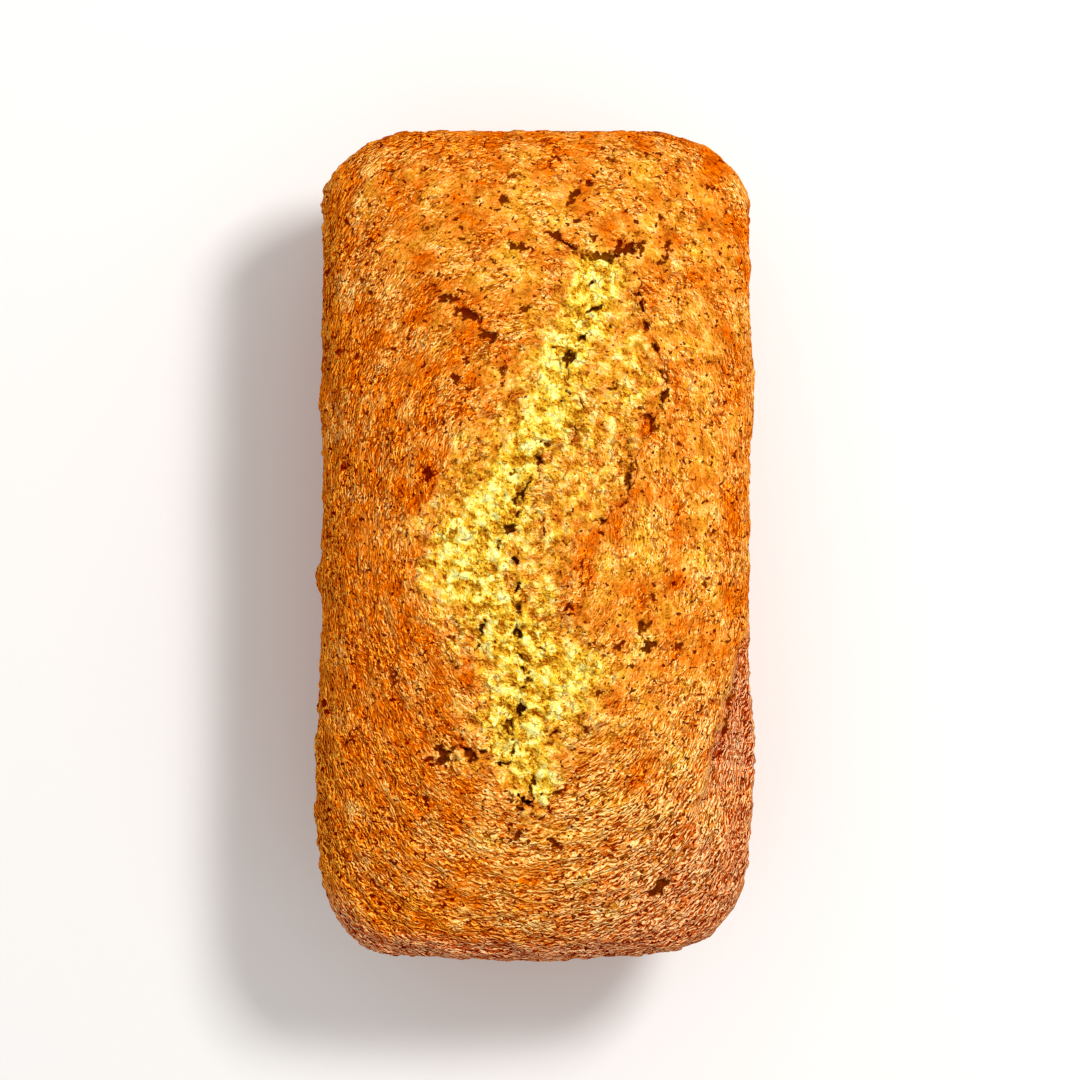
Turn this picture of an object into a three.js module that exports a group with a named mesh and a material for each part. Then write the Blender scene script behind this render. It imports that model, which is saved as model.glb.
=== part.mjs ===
// A banana bread baked in a one-pound loaf tin and turned out whole: one piece, standing on its flat base.
// Millimetres, +Z up. Its length runs along Y, and the origin is at the middle of the base.
// Left and right are -X and +X, front and back are -Y and +Y.
import * as THREE from "three";
import { ImprovedNoise } from "three/addons/math/ImprovedNoise.js";
import { mergeGeometries, mergeVertices } from "three/addons/utils/BufferGeometryUtils.js";

const { lerp, clamp, smoothstep } = THREE.MathUtils;

// Sizes at the rim of the tin, where the side wall ends and the crown begins
const HALF_WIDTH = 55.4;
const BACK_LENGTH = 107.6;
const FRONT_LENGTH = 105.6;
const RIM_HEIGHT = 55;
const CORNER_DROP = 6;
const CORNER_DROP_FADE = 6;

// Corners in plan: how far each curve reaches along X and Y, and how full it is (2 is an ellipse)
const CORNERS = {
  backLeft: { reachX: 23, reachY: 17, fullness: 1.7 },
  backRight: { reachX: 27, reachY: 19, fullness: 1.85 },
  frontRight: { reachX: 24, reachY: 28, fullness: 2.1 },
  frontLeft: { reachX: 17, reachY: 23, fullness: 2 },
};

// Where a side bows out past the straight line between its corners
const SWELLS = [
  { side: "left", at: -60, out: 1.9, reach: 26 },
  { side: "left", at: 36, out: 0.7, reach: 9 },
  { side: "right", at: -56, out: 1.5, reach: 15 },
  { side: "right", at: 42, out: 1.4, reach: 13 },
  { side: "front", at: -3, out: 2.4, reach: 30 },
];
const SWELL_FADE = 6;

// A bead of batter that baked on to the left side, at the rim
const BEAD = { at: new THREE.Vector3(-55.6, -8.3, 54), out: 2, reach: 4.5 };

// Side wall: the tin's taper, the slight waist of a cooled loaf, the ledge under the rim and the rounded foot
const TAPER = 0.13;
const WAIST = 1.1;
const LEDGE = 0.6;
const LEDGE_REACH = 7;
const FOOT_RADIUS = 6;

// Crown: a round shoulder at the rim, then a dome, highest along the middle, that hangs over on the right
const SHOULDER_RISE = 7;
const SHOULDER_REACH = 9;
const DOME_RISE = 16.5;
const DOME_ACROSS = 2.3;
const DOME_ALONG = 3.1;
const OVERHANG = 1.5;
const OVERHANG_ENDS = { front: -8, back: 85, ramp: 12 };
const UNEVEN = 1;
const UNEVEN_REACH = 24;
const BUMPS = 0.4;
const BUMPS_REACH = 8;

// The split along the crown: the left and right edges of the torn crumb at stations along Y
const TEAR = [
  { y: 75, left: 9, right: 27 },
  { y: 72, left: 8.5, right: 27.5 },
  { y: 64, left: 5, right: 28 },
  { y: 53, left: -4, right: 30 },
  { y: 43, left: -9, right: 33 },
  { y: 32, left: -17, right: 30 },
  { y: 22, left: -22, right: 27 },
  { y: 12, left: -27.5, right: 22.5 },
  { y: 1, left: -32, right: 14 },
  { y: -10, left: -33, right: 10 },
  { y: -17, left: -29, right: 9.5 },
  { y: -25, left: -21, right: 18 },
  { y: -40, left: -15, right: 16.5 },
  { y: -48, left: -18, right: 14 },
  { y: -56, left: -14, right: 7 },
  { y: -65, left: -5.5, right: 4 },
  { y: -69, left: -4, right: 3 },
];
const TEAR_EDGE = 2.4;
const TORN_SINK = 1.4;
const CRAG = 1.5;
const CRAG_REACH = 6;
const FINE_CRAG = 0.6;
const LIP = 0.9;
const LIP_REACH = 4;

// The fissure that runs down the torn crumb: its line, and how deep it is along the way
const FISSURE = [
  { y: 73.6, x: 16.6, depth: 0 },
  { y: 70, x: 15.4, depth: 4 },
  { y: 61.4, x: 14, depth: 2 },
  { y: 52, x: 11.7, depth: 3 },
  { y: 46.5, x: 8.6, depth: 5.5 },
  { y: 39.3, x: 8.1, depth: 2.5 },
  { y: 33, x: 9.4, depth: 2 },
  { y: 27.8, x: 7.8, depth: 3 },
  { y: 23.1, x: 1, depth: 3.5 },
  { y: 18.5, x: -0.3, depth: 3 },
  { y: 14.3, x: -2.9, depth: 4 },
  { y: 7.8, x: -4.9, depth: 6 },
  { y: 3.6, x: -6.5, depth: 6.5 },
  { y: -3.6, x: -4.9, depth: 3.5 },
  { y: -10.4, x: -4.7, depth: 4.5 },
  { y: -22.9, x: -4.7, depth: 2.5 },
  { y: -35.6, x: -3.1, depth: 4.5 },
  { y: -41.3, x: -3.9, depth: 6.5 },
  { y: -47.1, x: -6.8, depth: 6 },
  { y: -56.2, x: -4.4, depth: 3 },
  { y: -60.6, x: -1.6, depth: 5 },
  { y: -65.5, x: -1.6, depth: 8 },
  { y: -69, x: -2, depth: 0 },
];
const FISSURE_HALF = 2;

// Gashes in the crust beside the split: end points, half width and depth
const GASHES = [
  { from: [9, 76.5], to: [17, 73.5], half: 2, depth: 2.5 },
  { from: [17, 73.5], to: [27, 77.5], half: 2.4, depth: 4.5 },
  { from: [-29, -55.5], to: [-21, -53.5], half: 2.4, depth: 4 },
  { from: [-21, -53.5], to: [-8, -53], half: 1.9, depth: 2.5 },
  { from: [-25.5, 63], to: [-14, 56.5], half: 1.9, depth: 2 },
  { from: [24.5, 71], to: [31.5, 52], half: 1.8, depth: 1.8 },
  { from: [33, 44], to: [29, 28], half: 1.8, depth: 1.8 },
  { from: [24.5, 20.5], to: [23, 9], half: 1.9, depth: 2 },
  { from: [26.5, -17], to: [29, -27.5], half: 1.8, depth: 2 },
  { from: [29, -90], to: [33.5, -86], half: 2.3, depth: 2 },
  { from: [14, -102.5], to: [40, -99.5], half: 2.4, depth: 1.2 },
];

// The low shelf at the front right, where batter baked on the tin outside the dome
const SHELF = [
  { y: -12, x: 56.5 },
  { y: -28, x: 53 },
  { y: -42, x: 48.5 },
  { y: -52, x: 45.5 },
  { y: -66, x: 42.5 },
  { y: -80, x: 40 },
];
const SHELF_ENDS = { front: -66, back: -22, ramp: 12 };
const SHELF_DROP = 3;
const SHELF_STEP = 3;

// Mesh: cells across and along the crown, their size at the fissure and at the rim against an even spacing,
// and the rings of the side wall as shares of the way down
const COLUMNS = 48;
const ROWS = 90;
const COLUMN_AT_FISSURE = 0.5;
const COLUMN_AT_RIM = 0.6;
const FOLLOW_FADE = [0.62, 0.95];
const ROW_AT_RIM = 0.72;
const WALL_RINGS = [0.07, 0.45, 0.892, 0.965, 1];
const MERGE = 1e-4;

const noise = new ImprovedNoise();

// Smooth noise over the plan, its bumps about one reach across
function bumpsAt(x, y, reach, layer) {
  return noise.noise(x / reach, y / reach, layer);
}

// Rises smoothly from 0 to 1 as a coordinate goes from one value to another, and falls back at the other end
function span(value, from, to, ramp) {
  return smoothstep(value, from - ramp, from + ramp) * (1 - smoothstep(value, to - ramp, to + ramp));
}

// Value of a key at y, on straight lines between the stations, which run from back to front
function alongStations(stations, y, key) {
  const after = stations.findIndex((station) => station.y <= y);
  if (after === 0) return stations[0][key];
  if (after < 0) return stations[stations.length - 1][key];
  const [a, b] = [stations[after - 1], stations[after]];
  return lerp(a[key], b[key], (a.y - y) / (a.y - b.y));
}

// Plan of the loaf: turns a point of the unit square into x, y and the distance in from the outline
function planPoint(u, v) {
  const halfLength = v > 0 ? BACK_LENGTH : FRONT_LENGTH;
  const corner = CORNERS[(v > 0 ? "back" : "front") + (u > 0 ? "Right" : "Left")];
  let x = Math.abs(u) * HALF_WIDTH;
  let y = Math.abs(v) * halfLength;
  let edge = Math.min(HALF_WIDTH - x, halfLength - y);
  const s = 1 - (HALF_WIDTH - x) / corner.reachX;
  const t = 1 - (halfLength - y) / corner.reachY;
  if (s > 0 && t > 0) {
    const outer = Math.max(s, t);
    const n = corner.fullness;
    const pull = outer / (s ** n + t ** n) ** (1 / n);
    x = HALF_WIDTH + corner.reachX * (s * pull - 1);
    y = halfLength + corner.reachY * (t * pull - 1);
    edge = (1 - outer) * lerp(corner.reachX, corner.reachY, t ** 2 / (s ** 2 + t ** 2));
  }
  x *= Math.sign(u);
  y *= Math.sign(v);
  const out = { left: 0, right: 0, front: 0 };
  for (const swell of SWELLS) {
    const along = swell.side === "front" ? x : y;
    out[swell.side] += swell.out * Math.exp(-(((along - swell.at) / swell.reach) ** 2));
  }
  const across = Math.abs(u) ** SWELL_FADE;
  x += across * (u > 0 ? out.right : -out.left);
  y -= v < 0 ? Math.abs(v) ** SWELL_FADE * out.front : 0;
  return { x, y, edge };
}

// Drop at the front right, outside the line of the shelf
function shelfDrop(x, y, edge) {
  const outside = x - alongStations(SHELF, y, "x");
  const step = smoothstep(outside, -SHELF_STEP / 2, SHELF_STEP / 2) * smoothstep(edge, 0, SHELF_STEP);
  return SHELF_DROP * step * span(y, SHELF_ENDS.front, SHELF_ENDS.back, SHELF_ENDS.ramp);
}

// Depth of a straight gash at a point, with tapering ends
function gashDepth(gash, x, y) {
  const [ax, ay] = gash.from;
  const [dx, dy] = [gash.to[0] - ax, gash.to[1] - ay];
  const share = clamp(((x - ax) * dx + (y - ay) * dy) / (dx * dx + dy * dy), 0, 1);
  const away = Math.hypot(x - ax - share * dx, y - ay - share * dy);
  return gash.depth * (1 - smoothstep(away, 0, gash.half));
}

// Relief of the split: torn crumb, sunk and craggy, a fissure through it and a raised lip on its right
function splitRelief(x, y) {
  const left = alongStations(TEAR, y, "left");
  const right = alongStations(TEAR, y, "right");
  const lengthwise = span(y, TEAR[TEAR.length - 1].y, TEAR[0].y, TEAR_EDGE);
  const torn = lengthwise * span(x, left, right, TEAR_EDGE);
  const crags = bumpsAt(x, y, CRAG_REACH, 3.7) + FINE_CRAG * bumpsAt(x, y, CRAG_REACH / 2, 9.1);
  const outside = smoothstep(x, right - TEAR_EDGE, right + TEAR_EDGE);
  const lip = LIP * lengthwise * outside * Math.exp(-(((x - right - TEAR_EDGE) / LIP_REACH) ** 2));
  const away = Math.abs(x - alongStations(FISSURE, y, "x"));
  const fissure = alongStations(FISSURE, y, "depth") * (1 - smoothstep(away, 0, FISSURE_HALF));
  return lip + torn * (CRAG * crags - TORN_SINK) - fissure;
}

// Height of the crown without relief: the rim, dipping towards the corners, the round shoulder and the dome
function crownHeight(x, y, outward) {
  const across = Math.min(Math.abs(x) / HALF_WIDTH, 1);
  const along = Math.min(Math.abs(y) / (y > 0 ? BACK_LENGTH : FRONT_LENGTH), 1);
  const rim = RIM_HEIGHT - CORNER_DROP * (across * along) ** CORNER_DROP_FADE;
  const shoulder = SHOULDER_RISE * Math.sqrt(1 - outward ** 2);
  return rim + shoulder + DOME_RISE * (1 - across ** DOME_ACROSS) * (1 - along ** DOME_ALONG);
}

// A point of the crown's skin for a point of the unit square
function crownPoint(u, v) {
  const { x, y, edge } = planPoint(u, v);
  const outward = 1 - Math.min(edge / SHOULDER_REACH, 1);
  const waves = UNEVEN * bumpsAt(x, y, UNEVEN_REACH, 1.3) + BUMPS * bumpsAt(x, y, BUMPS_REACH, 5.2);
  const gashes = Math.max(...GASHES.map((gash) => gashDepth(gash, x, y)));
  const relief = waves * (1 - outward) + splitRelief(x, y) - gashes - shelfDrop(x, y, edge);
  const beside = u > 0 ? span(y, OVERHANG_ENDS.front, OVERHANG_ENDS.back, OVERHANG_ENDS.ramp) : 0;
  const bulge = OVERHANG * beside * Math.sin(Math.PI * outward);
  return new THREE.Vector3(x + bulge, y, crownHeight(x, y, outward) + relief);
}

// Columns are closer together at the fissure and at the rim, and one of them follows the fissure
function columnAcross(share, v) {
  const y = v * (v > 0 ? BACK_LENGTH : FRONT_LENGTH);
  const fade = 1 - smoothstep(Math.abs(v), ...FOLLOW_FADE);
  const middle = fade * (alongStations(FISSURE, y, "x") / HALF_WIDTH);
  const t = Math.abs(share);
  const cubic = COLUMN_AT_FISSURE + COLUMN_AT_RIM - 2;
  const square = 1 - COLUMN_AT_FISSURE - cubic;
  return lerp(middle, Math.sign(share), t * (COLUMN_AT_FISSURE + square * t + cubic * t * t));
}

// Rows are closer together at the front and back ends
function rowAlong(share) {
  const close = (1 - ROW_AT_RIM) / 2;
  return share * (1 + close - close * share * share);
}

function crownSkin() {
  const skin = new THREE.PlaneGeometry(2, 2, COLUMNS, ROWS);
  const position = skin.getAttribute("position");
  for (let i = 0; i < position.count; i++) {
    const v = rowAlong(position.getY(i));
    const point = crownPoint(columnAcross(position.getX(i), v), v);
    position.setXYZ(i, point.x, point.y, point.z);
  }
  return skin;
}

// The crown's border, anticlockwise as seen from above, starting at the back left
function rimOf(skin) {
  const position = skin.getAttribute("position");
  const at = (column, row) => new THREE.Vector3().fromBufferAttribute(position, row * (COLUMNS + 1) + column);
  const rim = [];
  for (let row = 0; row < ROWS; row++) rim.push(at(0, row));
  for (let column = 0; column < COLUMNS; column++) rim.push(at(column, ROWS));
  for (let row = ROWS; row > 0; row--) rim.push(at(COLUMNS, row));
  for (let column = COLUMNS; column > 0; column--) rim.push(at(column, 0));
  return rim;
}

// One ring of the side wall: the rim drawn in by the taper, the waist, the ledge and the rounded foot
function wallRing(rim, down) {
  return rim.map((point) => {
    const z = point.z * (1 - down);
    const fallen = point.z - z;
    const waist = WAIST * Math.sin(Math.PI * down);
    const below = smoothstep(fallen, 0, LEDGE_REACH);
    const ledge = LEDGE * 4 * below * (1 - below);
    const foot = FOOT_RADIUS - Math.sqrt(FOOT_RADIUS ** 2 - Math.max(FOOT_RADIUS - z, 0) ** 2);
    const waves = UNEVEN * below * bumpsAt(point.x, point.y, UNEVEN_REACH, z / UNEVEN_REACH);
    const inward = TAPER * fallen + waist + ledge + foot + waves;
    return new THREE.Vector3(point.x * (1 - inward / HALF_WIDTH), point.y * (1 - inward / BACK_LENGTH), z);
  });
}

// The side wall: an open cylinder of rings, its points moved to the rim and the rings below it
function wallSkin(rings) {
  const around = rings[0].length;
  const skin = new THREE.CylinderGeometry(1, 1, 1, around, rings.length - 1, true);
  const position = skin.getAttribute("position");
  for (let i = 0; i < position.count; i++) {
    const point = rings[Math.floor(i / (around + 1))][(i % (around + 1)) % around];
    position.setXYZ(i, point.x, point.y, point.z);
  }
  return skin;
}

// The flat base: a disc whose edge is moved to the last ring, taken backwards so that it faces down
function baseSkin(ring) {
  const around = ring.length;
  const skin = new THREE.CircleGeometry(1, around);
  const position = skin.getAttribute("position");
  for (let i = 1; i < position.count; i++) {
    const point = ring[(around - (i - 1)) % around];
    position.setXYZ(i, point.x, point.y, point.z);
  }
  return skin;
}

// Presses the bead out of the side, as a round bump on the rim
function pressBead(skin) {
  const position = skin.getAttribute("position");
  const point = new THREE.Vector3();
  for (let i = 0; i < position.count; i++) {
    point.fromBufferAttribute(position, i);
    const push = BEAD.out * Math.exp(-((point.distanceTo(BEAD.at) / BEAD.reach) ** 2));
    position.setX(i, point.x - push);
  }
}

function loafGeometry() {
  const crown = crownSkin();
  const rim = rimOf(crown);
  const rings = [rim, ...WALL_RINGS.map((down) => wallRing(rim, down))];
  const skins = [crown, wallSkin(rings), baseSkin(rings[rings.length - 1])];
  for (const skin of skins) {
    skin.deleteAttribute("uv");
    skin.deleteAttribute("normal");
  }
  const loaf = mergeVertices(mergeGeometries(skins), MERGE);
  pressBead(loaf);
  loaf.computeBoundingBox();
  const middle = loaf.boundingBox.getCenter(new THREE.Vector3());
  loaf.translate(-middle.x, -middle.y, 0);
  loaf.computeVertexNormals();
  return loaf;
}

const crust = new THREE.MeshStandardMaterial({ color: 0xd98a34, roughness: 0.75, metalness: 0 });
const loaf = new THREE.Mesh(loafGeometry(), crust);
loaf.name = "loaf";

const bananaBread = new THREE.Group();
bananaBread.add(loaf);

export default bananaBread;
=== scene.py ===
import bmesh
import bpy
import numpy as np
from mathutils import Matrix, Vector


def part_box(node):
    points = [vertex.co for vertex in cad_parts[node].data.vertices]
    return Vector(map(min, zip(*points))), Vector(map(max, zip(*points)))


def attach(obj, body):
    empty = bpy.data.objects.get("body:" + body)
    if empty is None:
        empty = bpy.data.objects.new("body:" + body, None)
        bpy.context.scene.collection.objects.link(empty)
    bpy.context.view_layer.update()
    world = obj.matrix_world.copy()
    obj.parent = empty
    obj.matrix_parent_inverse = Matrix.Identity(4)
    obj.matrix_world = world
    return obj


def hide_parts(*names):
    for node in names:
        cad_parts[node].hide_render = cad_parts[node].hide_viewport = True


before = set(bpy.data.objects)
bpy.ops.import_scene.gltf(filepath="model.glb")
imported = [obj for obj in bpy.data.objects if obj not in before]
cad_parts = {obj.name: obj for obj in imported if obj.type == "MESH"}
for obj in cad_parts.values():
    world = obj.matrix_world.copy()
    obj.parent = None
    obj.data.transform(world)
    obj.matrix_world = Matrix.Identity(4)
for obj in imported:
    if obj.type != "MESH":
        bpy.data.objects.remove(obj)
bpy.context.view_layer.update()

MM = 0.001


# The crust: the baked skin of the whole loaf, in one closed piece. It is dry, finely wrinkled and pitted on
# top, and smoother and browner where it stood against the tin. It is a grid laid over the crown, with its
# border drawn down the sides and closed under the base.

# Outline at the rim: half the width, the length each way, and at each corner its reach along X and Y and its
# fullness, where 2 is an ellipse
HALF_WIDTH = 55.4 * MM
BACK_LENGTH = 107.6 * MM
FRONT_LENGTH = 105.6 * MM
CORNERS = {
    (-1, 1): (23 * MM, 17 * MM, 1.7),
    (1, 1): (27 * MM, 19 * MM, 1.85),
    (1, -1): (24 * MM, 28 * MM, 2.1),
    (-1, -1): (17 * MM, 23 * MM, 2.0),
}

# Where a side bows out: the side, the place along it, how far out, and the reach of the bow. The bow fades
# towards the middle of the loaf by a power
SWELLS = (
    ("left", -60 * MM, 1.9 * MM, 26 * MM),
    ("left", 36 * MM, 0.7 * MM, 9 * MM),
    ("right", -56 * MM, 1.5 * MM, 15 * MM),
    ("right", 42 * MM, 1.4 * MM, 13 * MM),
    ("front", -3 * MM, 2.4 * MM, 30 * MM),
)
SWELL_POWER = 6


def rise(value, low, high):
    """Goes smoothly from 0 at low to 1 at high"""
    share = np.clip((value - low) / (high - low), 0, 1)
    return share * share * (3 - 2 * share)


def between(value, low, high, ramp):
    """1 between low and high, fading to 0 over the ramp at each end"""
    return rise(value, low - ramp, low + ramp) * (1 - rise(value, high - ramp, high + ramp))


def waves(x, y, z, cell, seed):
    """Smooth random waves from about -1 to 1, one cell across, at points in space"""
    draw = np.random.default_rng(seed)
    order = draw.permutation(256)
    lean = draw.normal(size=(256, 3))
    lean /= np.linalg.norm(lean, axis=1, keepdims=True)
    spot = np.stack(np.broadcast_arrays(x, y, z), axis=-1) / cell
    corner = np.floor(spot).astype(int)
    part = spot - corner
    fade = part ** 3 * (part * (part * 6 - 15) + 10)
    total = np.zeros(len(spot))
    for step in np.ndindex(2, 2, 2):
        at = (corner + step) & 255
        slot = order[(order[(order[at[:, 0]] + at[:, 1]) & 255] + at[:, 2]) & 255]
        weight = np.where(step, fade, 1 - fade).prod(axis=1)
        total += weight * (lean[slot] * (part - step)).sum(axis=1)
    return 1.6 * total


def flakes(x, y, z, cell, seed):
    """Random level patches from -0.5 to 0.5 with steep ragged edges between them"""
    uneven = waves(x, y, z, cell, seed) + 0.5 * waves(x, y, z, 0.45 * cell, seed + 100)
    return rise(uneven, -0.1, 0.1) - 0.5


def plan(u, v):
    """Place on the outline's plan, and distance in from its edge, for points of a square from -1 to 1"""
    side, end = np.where(u < 0, -1, 1), np.where(v < 0, -1, 1)
    length = np.where(v < 0, FRONT_LENGTH, BACK_LENGTH)
    x, y = np.abs(u) * HALF_WIDTH, np.abs(v) * length
    edge = np.minimum(HALF_WIDTH - x, length - y)
    for (corner_side, corner_end), (reach_x, reach_y, fullness) in CORNERS.items():
        s = 1 - (HALF_WIDTH - x) / reach_x
        t = 1 - (length - y) / reach_y
        here = (side == corner_side) & (end == corner_end) & (s > 0) & (t > 0)
        s, t = s[here], t[here]
        outer = np.maximum(s, t)
        pull = outer / (s ** fullness + t ** fullness) ** (1 / fullness)
        x[here] = HALF_WIDTH + reach_x * (s * pull - 1)
        y[here] = length[here] + reach_y * (t * pull - 1)
        edge[here] = (1 - outer) * (reach_x * s ** 2 + reach_y * t ** 2) / (s ** 2 + t ** 2)
    x, y = x * side, y * end
    out = {"left": 0, "right": 0, "front": 0}
    for name, place, far, reach in SWELLS:
        along = x if name == "front" else y
        out[name] = out[name] + far * np.exp(-(((along - place) / reach) ** 2))
    x_out = np.abs(u) ** SWELL_POWER * np.where(side < 0, -out["left"], out["right"])
    y_out = np.abs(v) ** SWELL_POWER * np.where(end < 0, -out["front"], 0)
    return x + x_out, y + y_out, edge


# Crown: the rim's height and its dip towards the corners, the round shoulder, and the dome with the powers by
# which it falls off across and along the loaf. Then how far the right side hangs over, and the slow sway of
# the whole surface
RIM_HEIGHT = 55 * MM
CORNER_DROP = 6 * MM
CORNER_POWER = 6
SHOULDER_RISE = 7 * MM
SHOULDER_REACH = 9 * MM
DOME_RISE = 16.5 * MM
DOME_ACROSS = 2.3
DOME_ALONG = 3.1
OVERHANG = 1.5 * MM
SWAY = 1.0 * MM
SWAY_CELL = 24 * MM


def crown_height(x, y, edge):
    """Height of the crown above the base, before its relief"""
    across = np.minimum(np.abs(x) / HALF_WIDTH, 1)
    along = np.minimum(np.abs(y) / np.where(y < 0, FRONT_LENGTH, BACK_LENGTH), 1)
    outward = 1 - np.minimum(edge / SHOULDER_REACH, 1)
    shoulder = SHOULDER_RISE * np.sqrt(1 - outward ** 2)
    dome = DOME_RISE * (1 - across ** DOME_ACROSS) * (1 - along ** DOME_ALONG)
    sway = SWAY * (1 - outward) * waves(x, y, 0, SWAY_CELL, 4)
    return RIM_HEIGHT - CORNER_DROP * (across * along) ** CORNER_POWER + shoulder + dome + sway


# The tear along the crown, at stations from front to back: its left and its right edge. Then how ragged the
# left one is, and the right one
TEAR = np.array((
    (-69, -4, 3), (-65, -5.5, 4), (-56, -14, 7), (-48, -18, 14), (-40, -15, 16.5), (-25, -21, 17),
    (-17, -29, 8.5), (-10, -33, 9.5), (1, -32, 11), (6, -30, 16), (12, -27.5, 23), (22, -22, 25.5),
    (32, -17, 29), (36, -14, 32), (43, -9, 32.8), (53, -4, 29.5), (64, 5, 26.5), (72, 8.5, 24), (75, 9, 24),
)) * MM
RAGGED = 9 * MM
RAGGED_RIGHT = 1.6 * MM


def tear_inside(x, y):
    """How far inside the ragged edge of the tear a point is, below 0 outside it"""
    stations, left, right = TEAR.T
    from_left, from_right = x - np.interp(y, stations, left), np.interp(y, stations, right) - x
    nearest = np.minimum(np.minimum(from_left, from_right), np.minimum(y - stations[0], stations[-1] - y))
    ragged = RAGGED + (RAGGED_RIGHT - RAGGED) * rise(from_left - from_right, -6 * MM, 6 * MM)
    return nearest + ragged * (0.7 * waves(x, y, 0, 8 * MM, 11) + 0.6 * waves(x, y, 0, 3 * MM, 12))


# How brown it baked, from 0 for the palest crumb to 1 for the darkest crust, with painted shade in it on the
# side of the dome away from the key light and at its edge. The crumb is palest down the middle of the tear,
# at stations from front to back: the place of that core and half its width
CORE = np.array((
    (-64, 2, 3), (-58, 0, 6), (-52, -5, 8), (-46, -6, 9), (-40, -3, 10), (-33, 2, 12), (-26, -3, 11),
    (-17, -9, 9), (-10, -16, 10), (-3, -17, 11), (5, -14, 10), (14, -9, 7), (22, -5, 6), (27, -1, 6),
    (34, 5, 7), (40, 4, 6), (48, 7, 6), (56, 11, 6), (64, 14, 7), (72, 16, 6),
)) * MM

# Single patches: the middle and the reach along X and along Y, in millimetres, and how much browner the patch
# is, below 0 for paler
PATCHES = (
    (6, 34, 4, 5, -0.2), (-5, 22, 4, 4, -0.2), (-12, 2, 4, 8, -0.15), (14, -31, 4, 4, -0.45),
    (1, -30, 3, 3, -0.3), (2, -15, 2.5, 3, -0.25), (-20, 27, 2.2, 2, -0.5), (-10, -50, 3, 3, -0.25),
    (16, 60, 3, 6, -0.2), (20, 68, 3, 4, -0.2), (25, 44, 4, 7, -0.12), (2, -60, 4, 2, -0.3),
    (-20, -56, 5, 3, -0.15), (30, 1, 7, 6, -0.08), (-10, 72, 12, 6, -0.06), (-28, 0, 5, 10, -0.06),
    (3, -44, 4, 3, -0.25), (10, -37, 4, 5, -0.3),
    (-28, 17, 2.5, 6, 0.35), (-19, 34, 3.5, 2.5, 0.35), (-8, 46, 2, 4, 0.25), (29, 31, 2, 4, 0.4),
    (-17, -34, 2, 5, 0.3), (12, -4, 3, 6, 0.25), (8, -15, 3, 3, 0.3), (5, -54, 3, 2, 0.25),
    (37, -64, 2, 2, 0.3), (-40, -36, 6, 2, 0.15), (-26, -47, 5, 2, 0.15), (-2, -93, 7, 2, 0.15),
    # The first patch below, along the front edge, is painted shade in the crease above the rim
    (15, -104, 18, 3, 0.35), (-52, 52, 4, 9, 0.15), (-45, 6, 3, 5, 0.1), (20, 10, 3, 4, 0.2),
    (4, 64, 5, 4, 0.12), (14, 18, 4, 4, 0.08), (47, -50, 2, 8, 0.2),
)

# How brown the crust and the torn crumb are on the whole, how much of that the pale core loses, and how much
# paler the rim of the right side is, partly stretched pale crust and partly painted light where it faces the
# key light
CRUST_BROWN = 0.66
CRUMB_BROWN = 0.42
CORE_LOSS = 0.95
RIM_PALER = 0.1


def browning(x, y, edge):
    """How brown the loaf baked at points of its plan, given how far they are from its edge, with painted
    shade in it
    """
    inside = tear_inside(x, y)
    # Browner towards the left, the front and the edge: partly deeper baking and partly painted shade on the
    # dome's side away from the key light and where it curves down at its edge
    crust = CRUST_BROWN + 0.22 * rise(-x, -5 * MM, 42 * MM) * (1 - 0.6 * rise(y, 35 * MM, 80 * MM))
    crust = crust + 0.04 * rise(-y, 35 * MM, 85 * MM) + 0.2 * (1 - rise(edge, 1 * MM, 12 * MM))
    crust = crust + 0.26 * waves(x, y, 0, 8 * MM, 61) + 0.2 * waves(*wrinkle_space(x, y), 3.5 * MM, 67)
    torn = CRUMB_BROWN + 0.3 * waves(x, y, 0, 5 * MM, 62) + 0.25 * waves(x, y, 0, 2.2 * MM, 63)
    brown = crust + (torn - crust) * rise(inside, -4 * MM, 6 * MM)
    row, middle, half = CORE.T
    away = np.abs(x - np.interp(y, row, middle)) / np.interp(y, row, half)
    away = away + 0.4 * waves(x, y, 0, 5 * MM, 64) + 0.35 * waves(x, y, 0, 2 * MM, 65)
    away = away + np.maximum(row[0] - y, 0) / (3 * MM) + np.maximum(y - row[-1], 0) / (3 * MM)
    brown = brown * (1 - CORE_LOSS * (1 - rise(away, 0.5, 1.3)))
    for patch_x, patch_y, reach_x, reach_y, browner in PATCHES:
        far = ((x / MM - patch_x) / reach_x) ** 2 + ((y / MM - patch_y) / reach_y) ** 2
        brown = brown + browner * np.exp(-far)
    # The right rim, partly stretched pale crust and partly painted light where it faces the key light
    rim = (x > 0) * between(y, -24 * MM, 66 * MM, 5 * MM) * (1 - rise(edge, 0.5 * MM, 3.5 * MM))
    brown = brown - RIM_PALER * rim
    return np.clip(brown + 0.05 * waves(x, y, 0, 2.5 * MM, 66), 0, 1)


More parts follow.
